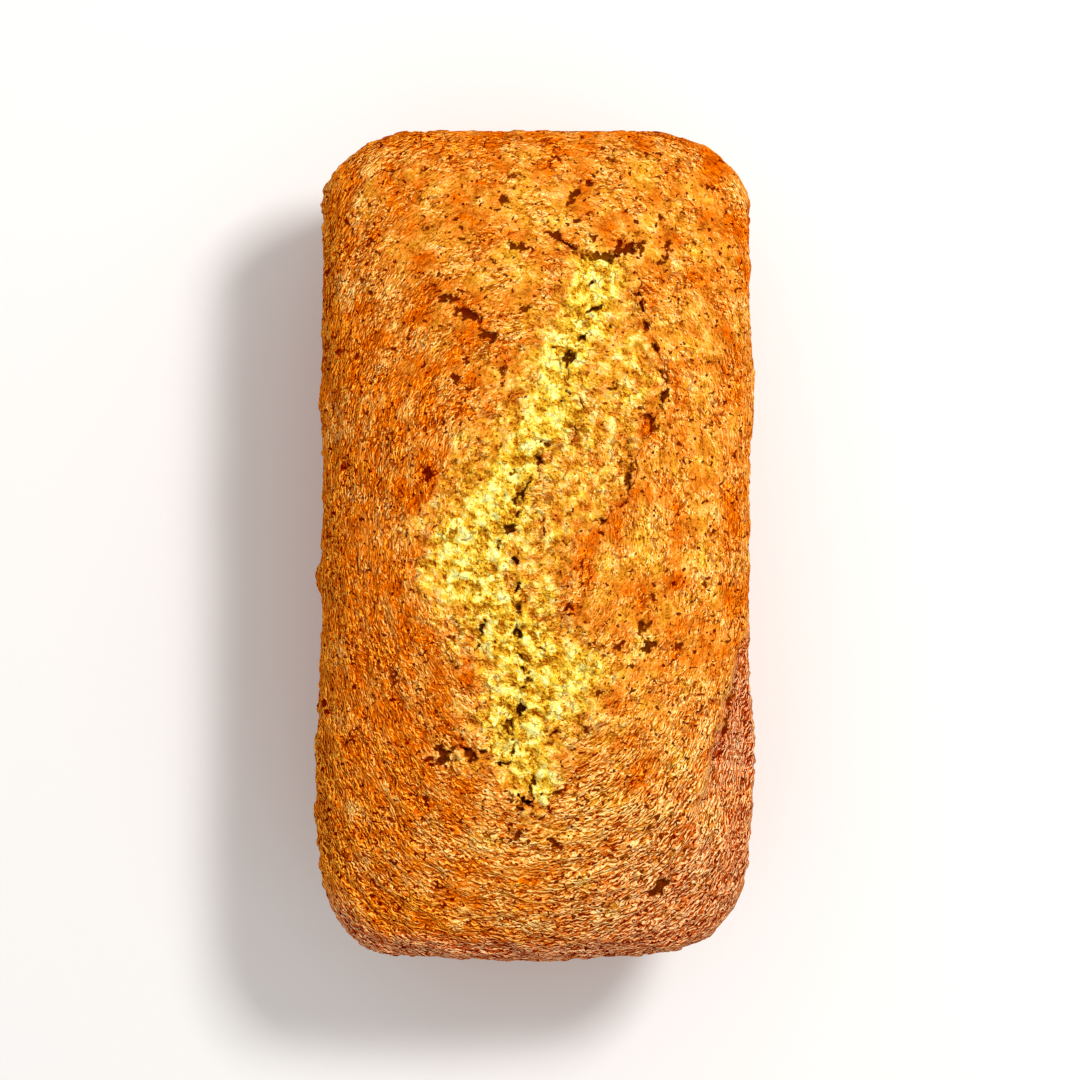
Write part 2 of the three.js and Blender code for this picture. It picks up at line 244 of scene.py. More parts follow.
# Cracks in the crust and the crumb, in millimetres: the points of each, then half its width and its depth
CRACKS = (
    (((11.0, 75.2), (14.0, 74.2), (17.5, 73.4), (21.5, 74.0)), 1.4, 1.7),
    (((16.8, 73.5), (19.0, 73.9), (21.5, 73.7)), 0.8, 2.8),
    (((20.5, 75.0), (22.5, 75.8), (24.8, 76.6), (26.2, 77.4)), 1.8, 3.8),
    (((2.6, 80.6), (4.0, 79.8), (7.5, 77.6), (10.0, 75.6)), 0.7, 2.8),
    (((-7.5, 77.8), (-4.5, 76.5), (-2.0, 75.7), (0.2, 76.2)), 0.65, 2.5),
    (((14.0, 79.6), (15.0, 78.6), (14.8, 77.4)), 0.5, 2.0),
    (((33.2, 76.7), (34.4, 76.5)), 0.9, 2.5),
    (((34.2, 75.2), (33.4, 73.6), (31.6, 71.6)), 0.7, 2.5),
    (((-25.2, 62.7), (-23.4, 64.0), (-21.8, 62.9), (-20.5, 63.2)), 1.1, 2.5),
    (((-21.1, 59.3), (-19.0, 60.1), (-16.6, 59.3), (-14.6, 57.2)), 1.0, 2.5),
    (((-14.2, 54.8), (-12.2, 53.4), (-10.1, 51.8)), 1.0, 2.5),
    (((-4.2, 59.2), (-3.0, 60.2), (-2.0, 61.2)), 0.7, 1.8),
    (((-10.2, 46.2), (-8.6, 44.6), (-8.0, 42.6)), 0.9, 1.2),
    (((-7.0, 38.0), (-5.8, 39.0)), 0.8, 1.4),
    (((13.4, 66.8), (15.2, 67.8)), 0.8, 2.2),
    (((12.6, 59.2), (14.2, 60.4), (16.8, 61.2)), 0.7, 2.4),
    (((10.8, 52.0), (11.6, 53.2), (12.6, 54.4)), 1.0, 2.8),
    (((7.6, 45.6), (8.4, 47.2), (9.2, 49.4)), 1.4, 3.2),
    (((8.2, 44.4), (8.0, 41.2)), 0.4, 1.4),
    (((8.2, 39.6), (8.5, 38.2)), 0.6, 2.0),
    (((10.5, 39.0), (11.5, 37.0), (13.0, 33.4)), 0.4, 1.4),
    (((6.0, 36.8), (7.2, 36.2)), 0.5, 1.6),
    (((3.8, 50.4), (5.2, 50.9)), 0.55, 1.6),
    (((18.6, 55.4), (19.4, 56.4)), 0.6, 1.6),
    (((18.0, 39.8), (20.6, 40.0), (20.6, 42.2)), 0.5, 1.8),
    (((10.4, 31.0), (10.0, 27.6)), 0.4, 1.6),
    (((1.4, 25.2), (3.4, 26.4)), 1.0, 1.5),
    (((0.8, 23.4), (0.6, 19.4)), 1.0, 2.0),
    (((-1.0, 17.6), (-3.2, 13.4)), 0.7, 2.2),
    (((-3.2, 14.6), (-5.4, 10.4)), 1.2, 2.2),
    (((-4.4, 8.6), (-4.8, 7.0)), 0.7, 2.4),
    (((-5.2, 4.8), (-8.6, 3.6)), 1.0, 2.6),
    (((-9.4, 1.4), (-10.2, -1.6)), 1.1, 1.6),
    (((-5.0, -2.6), (-5.2, -4.6)), 0.9, 2.8),
    (((-4.6, -9.2), (-5.0, -11.8)), 0.8, 2.6),
    (((-4.4, -15.0), (-5.2, -17.4)), 1.1, 2.6),
    (((-4.2, -21.0), (-4.8, -24.0)), 1.1, 2.6),
    (((-5.4, -27.6), (-3.6, -28.4), (-2.0, -29.6)), 0.45, 1.8),
    (((0.5, -26.0), (2.6, -27.0)), 0.4, 1.6),
    (((-4.0, -31.0), (-3.2, -32.4)), 0.7, 2.4),
    (((-2.8, -33.0), (-1.8, -35.4)), 1.3, 1.8),
    (((-4.2, -37.0), (-2.4, -36.2)), 0.6, 2.4),
    (((-3.6, -40.0), (-4.6, -43.4)), 1.6, 3.4),
    (((-5.4, -44.6), (-7.4, -46.0), (-6.6, -48.8)), 1.4, 2.2),
    (((-5.6, -51.0), (-6.0, -54.0)), 0.6, 2.0),
    (((-10.4, -55.6), (-8.6, -55.9), (-6.4, -55.6)), 0.6, 2.2),
    (((-1.0, -58.4), (-1.0, -61.0), (-1.4, -64.2)), 1.0, 1.9),
    (((-3.6, -65.0), (-1.4, -66.8)), 2.0, 4.5),
    (((0.6, -63.4), (1.6, -63.4)), 0.6, 1.8),
    (((4.4, -63.6), (6.6, -63.0)), 0.7, 2.2),
    (((2.8, -48.4), (5.8, -47.6)), 0.8, 1.8),
    (((7.0, -16.2), (10.0, -15.6)), 1.0, 1.8),
    (((12.6, -46.4), (13.4, -48.0)), 0.7, 1.6),
    (((15.4, -38.6), (16.4, -36.0)), 0.5, 1.5),
    (((-12.8, -19.0), (-14.6, -23.4)), 0.9, 1.9),
    (((-10.2, -24.2), (-10.0, -25.2)), 0.6, 1.8),
    (((-14.2, -25.4), (-15.2, -26.4)), 0.5, 1.8),
    (((-22.0, -23.6), (-21.0, -24.6)), 0.7, 1.2),
    (((24.6, 69.8), (25.6, 69.4)), 0.5, 1.2),
    (((24.6, 64.8), (26.8, 64.0)), 0.6, 1.4),
    (((26.4, 62.6), (27.4, 60.0)), 0.8, 1.6),
    (((27.6, 57.8), (28.6, 54.6)), 0.8, 1.5),
    (((29.2, 51.6), (31.4, 49.8)), 0.8, 1.5),
    (((34.0, 50.2), (35.0, 48.8)), 0.6, 1.4),
    (((30.2, 45.2), (32.2, 44.4), (33.6, 41.8)), 0.8, 1.5),
    (((33.4, 39.8), (32.0, 37.4), (31.4, 34.4)), 0.9, 1.6),
    (((25.4, 32.2), (27.6, 33.3), (29.8, 32.4), (30.0, 29.8), (28.8, 27.8)), 0.8, 1.4),
    (((24.4, 22.0), (23.6, 17.0), (23.2, 11.6)), 1.0, 1.6),
    (((18.0, 6.6), (15.0, 6.2)), 1.0, 1.7),
    (((9.0, 8.4), (7.6, 7.4)), 0.9, 1.4),
    (((-27.5, 19.5), (-27.0, 15.5)), 1.3, 1.3),
    (((-20.5, 44.0), (-20.0, 39.0)), 0.8, 1.2),
    (((-29.8, 10.5), (-29.5, 6.0)), 0.7, 1.3),
    (((53.5, -22.0), (52.0, -34.0), (49.0, -46.0), (45.2, -60.0)), 0.5, 1.0),
    (((26.4, -19.6), (26.8, -22.6)), 0.9, 2.5),
    (((28.0, -24.8), (28.9, -27.3)), 1.5, 3.2),
    (((19.8, -26.0), (21.2, -26.3)), 0.6, 1.6),
    (((-28.6, -55.0), (-27.6, -54.6)), 0.7, 2.0),
    (((-25.6, -54.8), (-24.0, -54.0), (-22.4, -54.8)), 2.0, 3.6),
    (((-22.6, -52.8), (-20.2, -52.0)), 0.6, 2.4),
    (((-19.0, -51.6), (-17.2, -52.8), (-15.2, -54.8)), 1.2, 2.8),
    (((-14.4, -52.2), (-12.8, -53.0)), 0.7, 2.2),
    (((-6.5, -71.8), (-7.0, -73.6)), 0.6, 2.0),
    (((-3.1, -73.1), (-5.7, -74.9)), 0.6, 2.0),
    (((2.6, -75.9), (5.2, -76.2), (6.5, -77.7)), 0.9, 2.5),
    (((28.9, -90.0), (31.2, -88.4), (33.3, -86.3)), 1.3, 3.4),
    (((-8.6, 90.2), (-8.6, 87.1)), 0.7, 2.5),
    (((10.9, 91.3), (8.8, 88.1)), 1.1, 2.5),
    (((14.3, 93.9), (13.0, 92.8)), 0.8, 2.5),
    (((11.2, 84.0), (10.1, 82.7)), 0.6, 2.0),
)

# How far the walls of a crack stray from its line, in its half widths
CRACK_STRAY = 1.1


def crack_depth(x, y, points, half_width, depth):
    """Depth of a crack along a line of points, its walls ragged and its ends tapered"""
    depths = np.zeros(len(x))
    line = np.array(points) * MM
    reach = 4 * half_width * MM
    near = (x > line[:, 0].min() - reach) & (x < line[:, 0].max() + reach)
    near &= (y > line[:, 1].min() - reach) & (y < line[:, 1].max() + reach)
    spot = np.stack((x[near], y[near]), axis=1)
    for axis in (0, 1):
        slow = waves(x[near], y[near], 0, 2.2 * MM, 31 + axis)
        quick = waves(x[near], y[near], 0, 1 * MM, 33 + axis)
        spot[:, axis] += CRACK_STRAY * half_width * MM * (slow + 0.7 * quick)
    lengths = np.linalg.norm(np.diff(line, axis=0), axis=1)
    gone = np.concatenate(([0], np.cumsum(lengths))) / lengths.sum()
    nearest = np.full(len(spot), np.inf)
    along = np.zeros(len(spot))
    for start, end, low, high in zip(line[:-1], line[1:], gone[:-1], gone[1:]):
        run = end - start
        share = np.clip((spot - start) @ run / (run @ run), 0, 1)
        away = np.linalg.norm(spot - start - share[:, None] * run, axis=1)
        closer = away < nearest
        nearest = np.where(closer, away, nearest)
        along = np.where(closer, low + share * (high - low), along)
    taper = np.sqrt(np.sin(np.pi * np.clip(along, 0.08, 0.92)))
    taper = taper * (1 + 0.4 * waves(x[near], y[near], 0, 3 * MM, 35))
    depths[near] = depth * MM * taper * (1 - rise(nearest, 0.3 * half_width * MM, half_width * MM * taper))
    return depths


# Pits: small holes where steam broke through, scattered all over the crown and stretched along its wrinkles.
# Their depth is in radii
PITS = 260
PIT_RADIUS = (0.35 * MM, 0.8 * MM)
PIT_DEPTH = 1.2
PIT_STRETCH = (1, 2.4)

# The wrinkles run round the loaf in ovals: the middle of these, their width over their length, and how slowly
# the wrinkles change on their way round
CENTRE = (-0.8 * MM, 4 * MM)
OVAL = 0.67
WRINKLE_DRIFT = 0.35


def wrinkle_space(x, y, z=0):
    """Coordinates in which waves come out as wrinkles that run round the loaf in ovals"""
    from_middle = np.hypot(x - CENTRE[0], OVAL * (y - CENTRE[1]))
    return WRINKLE_DRIFT * x, WRINKLE_DRIFT * y, from_middle - z


def pit_depth(x, y, count=PITS, seed=7):
    """Depth of the pits in the crown"""
    draw = np.random.default_rng(seed)
    low, high = np.array((x.min(), y.min())), np.array((x.max(), y.max()))
    depths = np.zeros(len(x))
    for _ in range(count):
        middle = draw.uniform(low, high)
        radius = PIT_RADIUS[0] + (PIT_RADIUS[1] - PIT_RADIUS[0]) * draw.random() ** 2
        stretch = draw.uniform(*PIT_STRETCH)
        near = np.flatnonzero((np.abs(x - middle[0]) < 4 * radius) & (np.abs(y - middle[1]) < 4 * radius))
        outward = np.array((middle[0] - CENTRE[0], OVAL ** 2 * (middle[1] - CENTRE[1])))
        outward /= np.linalg.norm(outward)
        off = np.stack((x[near] - middle[0], y[near] - middle[1]))
        across = outward @ off
        lengthwise = (outward[0] * off[1] - outward[1] * off[0]) / stretch
        away = np.hypot(across, lengthwise) / radius
        depths[near] = np.maximum(depths[near], PIT_DEPTH * radius * (1 - rise(away, 0.3, 1.3)))
    return depths


# The low shelf at the front right, where batter baked on the tin outside the dome: its step at stations from
# front to back, where it starts and ends, and how low it lies
SHELF = np.array(((-80, 40), (-66, 42.5), (-52, 45.5), (-42, 48.5), (-28, 53), (-12, 56.5))) * MM
SHELF_ENDS = (-66 * MM, -22 * MM)
SHELF_DROP = 4 * MM


def shelf_share(x, y):
    """0 on the dome and 1 on the shelf"""
    outside = x - np.interp(y, *SHELF.T) + 1.2 * MM * waves(x, y, 0, 5 * MM, 41)
    return rise(outside, -1 * MM, 1 * MM) * between(y, *SHELF_ENDS, 12 * MM)


# Tin side: the tin's taper, the slight waist of a cooled loaf, the ledge under the rim and the rounded foot
TAPER = 0.13
WAIST = 1.1 * MM
LEDGE = 0.6 * MM
LEDGE_REACH = 7 * MM
FOOT_RADIUS = 6 * MM

# The grid: columns and rows over the crown, then rings down the side and in under the base. Under the tear
# it keeps a share of the columns and is sunk out of sight. It is coarser than the crumb's, so its cracks are
# made wider. Then the depth of the gash along the tear, and the depth at which the shade painted into a
# hollow is darkest
COLUMNS = 178
ROWS = 400
SIDE_RINGS = 20
BASE_RINGS = 3
UNDER_TEAR = 16 / 35
CRUST_SUNK = 10 * MM
CRUST_CRACKS_WIDER = 1.35
GASH_DEPTH = 0.8 * MM
DARKEST = 0.8 * MM


def closed_grid(name, columns, rows, rings):
    """A grid from -1 to 1, its border run on in rings, each one level lower, and closed at a last point"""
    grid = bmesh.new()
    bmesh.ops.create_grid(grid, x_segments=columns, y_segments=rows, size=1)
    border = [edge for edge in grid.edges if edge.is_boundary]
    for ring in range(1, rings + 1):
        drawn = bmesh.ops.extrude_edge_only(grid, edges=border)["geom"]
        for vertex in drawn:
            if isinstance(vertex, bmesh.types.BMVert):
                vertex.co.z = -ring
        border = [edge for edge in drawn if isinstance(edge, bmesh.types.BMEdge) and edge.is_boundary]
    plug = bmesh.ops.contextual_create(grid, geom=border)["faces"]
    last = bmesh.ops.poke(grid, faces=plug)["verts"][0]
    last.co = (0, 0, -(rings + 1))
    bmesh.ops.recalc_face_normals(grid, faces=grid.faces)
    mesh = bpy.data.meshes.new(name)
    grid.to_mesh(mesh)
    grid.free()
    return mesh


def placed(name, data):
    """Puts a mesh, a light or a camera into the scene under its name"""
    made = bpy.data.objects.new(name, data)
    bpy.context.collection.objects.link(made)
    return made


def read_points(mesh):
    """The mesh's points, as three rows"""
    flat = np.empty(3 * len(mesh.vertices))
    mesh.vertices.foreach_get("co", flat)
    return flat.reshape(-1, 3).T.copy()


def write_points(mesh, points):
    """Moves the mesh's points to three rows of coordinates"""
    mesh.vertices.foreach_set("co", np.ascontiguousarray(points.T).ravel())
    mesh.update()


def read_normals(mesh):
    """The mesh's outward directions at its points, as three rows"""
    flat = np.empty(3 * len(mesh.vertices))
    mesh.vertices.foreach_get("normal", flat)
    return flat.reshape(-1, 3).T.copy()


def keep_measure(mesh, name, values):
    """Stores one number a point on the mesh, for its material to read"""
    mesh.attributes.new(name, "FLOAT", "POINT").data.foreach_set("value", values.astype(np.float32))


crust_mesh = closed_grid("loaf_crust", COLUMNS, ROWS, SIDE_RINGS + BASE_RINGS)
across, v, level = read_points(crust_mesh)
ring = -level

# The columns stand evenly on either side of the tear, and wider apart under it
length = np.where(v < 0, FRONT_LENGTH, BACK_LENGTH)
stations, left, right = TEAR.T
margin = 5 * MM
open_here = between(v * length, stations[0] + margin, stations[-1] - margin, 10 * MM)
u_left = np.interp(v * length, stations, left + margin) / HALF_WIDTH
u_right = np.interp(v * length, stations, right - margin) / HALF_WIDTH
even = 0.5 * (u_right - u_left)
under = even * (1 - (1 - UNDER_TEAR) * open_here)
knot_left = -1 + 2 * (1 - under) * (u_left + 1) / (u_left + 1 + 1 - u_right)
knot_right = knot_left + 2 * under
u = np.where(
    across < knot_left,
    -1 + (across + 1) / (knot_left + 1) * (u_left + 1),
    np.where(
        across > knot_right,
        1 - (1 - across) / (1 - knot_right) * (1 - u_right),
        u_left + (across - knot_left) / (knot_right - knot_left) * (u_right - u_left),
    ),
)
x, y, edge = plan(u, v)
z = crown_height(x, y, edge)

# The rings fall down the side, drawn in by the tin's taper, and then close under the base
down = 0.5 - 0.5 * np.cos(np.pi * np.minimum(ring / SIDE_RINGS, 1))
fallen = z * down
z = z - fallen
below = rise(fallen, 0, LEDGE_REACH)
foot = FOOT_RADIUS - np.sqrt(FOOT_RADIUS ** 2 - np.maximum(FOOT_RADIUS - z, 0) ** 2)
inward = TAPER * fallen + WAIST * np.sin(np.pi * down) + np.where(down > 0, foot, 0)
inward += LEDGE * 4 * below * (1 - below)
inward += SWAY * below * waves(x, y, z, SWAY_CELL, 4)
closing = 1 - np.maximum(ring - SIDE_RINGS, 0) / (BASE_RINGS + 1)
outward = 1 - np.minimum(edge / SHOULDER_REACH, 1)
bulge = OVERHANG * np.sin(np.pi * outward) * between(y, -8 * MM, 85 * MM, 12 * MM) * (u > 0)
x = (x + bulge) * (1 - inward / HALF_WIDTH) * closing
y = y * (1 - inward / BACK_LENGTH) * closing
write_points(crust_mesh, np.stack((x, y, z)))

# Relief: wrinkles, pits, cracks and the gash along the tear's right lip on the crown, pebbles on the side
on_crown = ring == 0
on_side = (ring > 0) & (ring <= SIDE_RINGS)
inside = tear_inside(x, y)
cracks = np.zeros(len(x))
for points, half_width, depth in CRACKS:
    cracks = np.maximum(cracks, crack_depth(x, y, points, CRUST_CRACKS_WIDER * half_width, depth))
pits = pit_depth(x, y)
shelf = shelf_share(x, y) * on_crown
grain = wrinkle_space(x, y, z)
wrinkles = 0.3 * waves(*grain, 2.4 * MM, 21) + 0.4 * waves(x, y, z, 7 * MM, 23)
wrinkles += 0.5 * flakes(*grain, 3.2 * MM, 22) + 0.3 * flakes(*grain, 1.8 * MM, 28)
pebbles = 0.4 * waves(x, y, z, 1.6 * MM, 24) + 0.4 * flakes(x, y, z, 3.4 * MM, 25)
grooved = 0.15 + 0.3 * rise(-x, 10 * MM, 45 * MM) + 0.4 * rise(-y, 20 * MM, 80 * MM)
grooved += 0.5 * rise(x - y, 60 * MM, 110 * MM) + 0.3 * (1 - rise(edge, 2 * MM, 12 * MM))
grooved -= 0.1 * rise(y, 50 * MM, 80 * MM)
grooved = np.clip(grooved + 0.3 * waves(x, y, z, 9 * MM, 29), 0, 1)
roughness = wrinkles * (0.6 + 0.5 * grooved) * (1 - shelf) + pebbles * shelf
relief = np.where(on_crown, roughness, 0.6 * pebbles * on_side * rise(z, 0, 3 * MM)) * MM
lip = rise(x - np.interp(y, *CORE.T[:2]), 8 * MM, 12 * MM) * rise(y, 2 * MM, 14 * MM)
sunk = CRUST_SUNK * (rise(inside, 1 * MM, 4 * MM) * (1 - lip) + rise(inside, -0.5 * MM, 0.7 * MM) * lip)
gash = lip * (1 - rise(np.abs(inside + 0.4 * MM), 0, 1.3 * MM)) * rise(waves(x, y, 0, 4 * MM, 43), 0.1, 0.35)
hollow = (0.5 * cracks + 0.7 * pits + GASH_DEPTH * gash) * on_crown
points = np.stack((x, y, z)) + read_normals(crust_mesh) * relief
points[2] -= hollow + (sunk + SHELF_DROP * shelf * rise(edge, 0, 3 * MM)) * on_crown
points[2] = np.maximum(points[2], 0)

# A bead of batter that ran over the tin's edge on the left: its middle, its reach and how far it stands out
BEAD = (-55.6 * MM, -8.3 * MM, 54 * MM)
BEAD_REACH = 4.5 * MM
BEAD_OUT = 2 * MM

bead_distance = np.sqrt(sum((row - middle) ** 2 for row, middle in zip(points, BEAD)))
points[0] -= BEAD_OUT * np.exp(-((bead_distance / BEAD_REACH) ** 2))

# The solid's middle is at the origin, so the crust is moved as a whole to the middle of its box
low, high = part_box("loaf")
shift = 0.5 * (np.array(low) + np.array(high)) - 0.5 * (points.min(axis=1) + points.max(axis=1))
shift[2] = 0
write_points(crust_mesh, points + shift[:, None])

crust = placed("loaf_crust", crust_mesh)
crust_mesh.shade_smooth()

# What the finish reads: the depth of hollows, by which shade is painted into them, the relief, by which its
# crests are painted lighter and its low parts darker, browning and how wrinkled it is, then where the crown
# is pink, on the shelf, the front edge and the front right, with pale pink strokes that are partly painted
# highlights, and how far a point is down the tin's wall
keep_measure(crust_mesh, "hollow", np.clip(hollow / DARKEST, 0, 1))
keep_measure(crust_mesh, "relief", np.clip(0.5 + 0.6 * roughness, 0, 1) * on_crown + 0.5 * ~on_crown)
keep_measure(crust_mesh, "brown", browning(x, y, np.where(on_crown, edge, 0)))
keep_measure(crust_mesh, "grooved", grooved * on_crown + 0.3 * ~on_crown)
front_band = 1 - rise(edge + 2 * MM * waves(x, y, 0, 4 * MM, 44), 2 * MM, 8 * MM)
front_band = front_band * (1 - rise(y, -100 * MM, -84 * MM))
# Pinker at the front right, where the tin-side colours' pale pink strokes are partly painted highlights
pink_front_right = 0.7 * rise(x - y, 80 * MM, 140 * MM)
side = np.maximum(np.maximum(0.8 * shelf, 0.8 * front_band), pink_front_right) * on_crown
keep_measure(crust_mesh, "side", side)
keep_measure(crust_mesh, "wall", rise(fallen + 2 * MM * waves(x, y, z, 5 * MM, 45), 0, 8 * MM) * ~on_crown)


def paint(red, green, blue):
    """A colour given as on a screen, as the shader wants it"""
    share = np.array((red, green, blue)) / 255
    return (*np.where(share <= 0.04045, share / 12.92, ((share + 0.055) / 1.055) ** 2.4), 1)


def add(tree, kind, inputs=None, **settings):
    """Adds a shader node with its settings, and sets or links its inputs"""
    made = tree.nodes.new("ShaderNode" + kind)
    for name, value in settings.items():
        setattr(made, name, value)
    for key, value in (inputs or {}).items():
        if isinstance(value, bpy.types.NodeSocket):
            tree.links.new(value, made.inputs[key])
        else:
            made.inputs[key].default_value = value
    return made


def maths(tree, operation, first, second, third=0.0, clamp=False):
    """One sum on shader values"""
    return add(tree, "Math", {0: first, 1: second, 2: third}, operation=operation, use_clamp=clamp).outputs[0]


def measure(tree, name):
    """A number stored on the mesh"""
    return add(tree, "Attribute", attribute_name=name).outputs["Fac"]


def blend(tree, share, first, second):
    """Mixes two shader colours"""
    mix = add(tree, "Mix", data_type="RGBA", blend_type="MIX", clamp_factor=True)
    for socket, value in zip((mix.inputs["Factor"], mix.inputs[6], mix.inputs[7]), (share, first, second)):
        if isinstance(value, bpy.types.NodeSocket):
            tree.links.new(value, socket)
        else:
            socket.default_value = value
    return mix.outputs[2]


def ramp(tree, share, *stops):
    """Colours along a shader value: each stop is its place and its colour"""
    node = add(tree, "ValToRGB", {0: share})
    elements = node.color_ramp.elements
    for (place, colour), element in zip(stops, [elements[0], elements[1]]):
        element.position, element.color = place, colour
    for place, colour in stops[2:]:
        elements.new(place).color = colour
    return node.outputs[0]


def new_material(name):
    """A material with its tree, its shader and the object's own coordinates"""
    material = bpy.data.materials.new(name)
    material.use_nodes = True
    tree = material.node_tree
    return material, tree, tree.nodes["Principled BSDF"], add(tree, "TexCoord").outputs["Object"]


def from_centre(tree, place):
    """The way out from the crown's centre to a point, drawn in along Y to the crown's oval"""
    middle = (CENTRE[0] + shift[0], CENTRE[1] + shift[1], 0)
    way = add(tree, "VectorMath", {0: place, 1: middle}, operation="SUBTRACT").outputs[0]
    return add(tree, "VectorMath", {0: way, 1: (1, OVAL, 0)}, operation="MULTIPLY").outputs[0]


def grain_of(tree, place):
    """The crown's wrinkle coordinates, as wrinkle_space gives them"""
    away = add(tree, "VectorMath", {0: from_centre(tree, place)}, operation="LENGTH").outputs["Value"]
    parts = add(tree, "SeparateXYZ", {0: place}).outputs
    x, y = (maths(tree, "MULTIPLY", parts[i], WRINKLE_DRIFT) for i in (0, 1))
    return add(tree, "CombineXYZ", {0: x, 1: y, 2: maths(tree, "SUBTRACT", away, parts[2])}).outputs[0]


def speckle(tree, place, cell, octaves=1):
    """Random waves from 0 to 1, with halved ones on them for each octave more"""
    settings = {"Vector": place, "Scale": 1 / cell, "Detail": octaves - 1, "Roughness": 0.5}
    return add(tree, "TexNoise", settings).outputs["Fac"]


def span(tree, value, low, high):
    """Goes smoothly from 0 at low to 1 at high"""
    return add(tree, "MapRange", {0: value, 1: low, 2: high}, interpolation_type="SMOOTHSTEP").outputs[0]


def moved(tree, place, step):
    """Places a step further on"""
    return add(tree, "VectorMath", {0: place, 1: step}).outputs[0]


def plateaus(tree, place, cell, octaves, edge):
    """Level patches from 0 to 1 with narrow ragged slopes between them"""
    return span(tree, speckle(tree, place, cell, octaves), 0.5 - edge, 0.5 + edge)


def more(tree, value, over, under, weight):
    """A shader value with the weighted difference of two others added to it"""
    return maths(tree, "MULTIPLY_ADD", maths(tree, "SUBTRACT", over, under), weight, value)


# Where the colours of a ramp stand along the tone
TONE_STOPS = (0.0, 0.5, 0.76, 1.0)


def toned(tree, tone, colours):
    """Colours along the tone, from its darkest to its lightest stop"""
    return ramp(tree, tone, *((stop, paint(*colour)) for stop, colour in zip(TONE_STOPS, colours)))


# The finish of the whole loaf: matt and dry, from pale yellow crumb through orange to red-brown crust,
# with light and shade painted in: lighter on the crests of its relief and on one slope of its plates, ridges,
# curds and lumps, darker on their other slope, and with painted shade in the lines and pits between them.
# The colours of each stage of browning run from its dark strokes to its light ones, and a stage fades in
# over a span of browning
BROWNED = (
    ((150, 60, 0), (252, 199, 46), (255, 236, 108), (255, 252, 170)),
    ((136, 42, 0), (246, 168, 38), (255, 206, 94), (255, 242, 156)),
    ((124, 20, 0), (232, 136, 28), (253, 174, 78), (255, 228, 146)),
    ((98, 0, 0), (216, 92, 0), (250, 132, 0), (255, 190, 66)),
)
BROWNED_SPANS = ((0.05, 0.4), (0.4, 0.68), (0.68, 0.92))
# Pink-brown where the crown baked against the tin and at its front right; its palest colour is partly a
# painted pinkish highlight
TIN_SIDE = ((98, 4, 0), (200, 86, 28), (240, 142, 84), (253, 212, 164))
TIN_WALL = ((96, 36, 6), (190, 104, 36), (214, 134, 56), (238, 172, 92))

# Colours of the shade painted into the thin lines, the hollows and the deepest holes, each in pale crumb and
# in brown crust
LINE_SHADE_COLOURS = (136, 76, 0), (140, 22, 0)
HOLLOW_SHADE_COLOURS = (176, 122, 16), (150, 34, 0)
DEEP_SHADE_COLOURS = (116, 62, 4), (104, 10, 0)

# Sizes of the crust's plates and ridges and of the crumb's curds and lumps, each with the step to a shifted
# copy of it, by which light is painted on one of its slopes and shade on the other, how far the lumps are
# bent out of shape, and where a dark seam of painted shade is full and where it ends, from a lump's edge
# inwards
PLATE, PLATE_SHADE_STEP = 1.3 * MM, 0.2 * MM
RIDGE, RIDGE_SHADE_STEP = 0.62 * MM, (0, 0, 0.17 * MM)
CURD, CURD_SHADE_STEP = 2.0 * MM, (0.26 * MM, 0.2 * MM, 0)
LUMP, LUMP_SHADE_STEP = 3.0 * MM, (0.5 * MM, 0.4 * MM, 0)
LUMP_BEND = (2.4 * MM, 2.4 * MM, 2.4 * MM)
SEAM, SEAM_EDGE = 0.04, 0.12

ROUGHNESS = 0.55
BUMP_DEPTH = 0.5 * MM

finish, tree, shader, place = new_material("baked_loaf")
side, hollow, brown, grooved = (measure(tree, name) for name in ("side", "hollow", "brown", "grooved"))
soft = maths(tree, "SUBTRACT", 1.0, brown, clamp=True)
mottle = speckle(tree, place, 4 * MM, 3)
patches = span(tree, speckle(tree, place, 2.2 * MM, 3), 0.45, 0.55)
grit = speckle(tree, place, 0.55 * MM, 2)
busy = span(tree, speckle(tree, place, 8 * MM, 2), 0.4, 0.6)
cream = span(tree, speckle(tree, place, 3.5 * MM, 3), 0.42, 0.6)

# A small step out from the crown's middle: the plates are painted lighter on their slopes that face the
# middle and darker on the slopes that face out
outward = add(tree, "VectorMath", {0: from_centre(tree, place)}, operation="NORMALIZE").outputs[0]
outward = add(tree, "VectorMath", {0: outward, "Scale": PLATE_SHADE_STEP}, operation="SCALE").outputs[0]
grain = grain_of(tree, place)
# Each pattern and a copy of it a small step on: their difference paints light on one slope and shade on the
# other
plates, plates_shifted_for_shade = (plateaus(tree, at, PLATE, 3, 0.05) for at in (place, moved(tree, place, outward)))
ridges, ridges_shifted_for_shade = (plateaus(tree, at, RIDGE, 2, 0.1) for at in (grain, moved(tree, grain, RIDGE_SHADE_STEP)))
curds, curds_shifted_for_shade = (plateaus(tree, at, CURD, 4, 0.05) for at in (place, moved(tree, place, CURD_SHADE_STEP)))
bent = add(tree, "TexNoise", {"Vector": place, "Scale": 1 / (2.2 * MM), "Detail": 1.0}).outputs["Color"]
bent = add(tree, "VectorMath", {0: bent, 1: LUMP_BEND, 2: place}, operation="MULTIPLY_ADD").outputs[0]
lumps, lumps_shifted_for_shade = (
    add(tree, "TexVoronoi", {"Vector": at, "Scale": 1 / LUMP}, feature="DISTANCE_TO_EDGE").outputs["Distance"]
    for at in (bent, moved(tree, bent, LUMP_SHADE_STEP))
)
mounds, mounds_shifted_for_shade = span(tree, lumps, 0.0, 0.3), span(tree, lumps_shifted_for_shade, 0.0, 0.3)
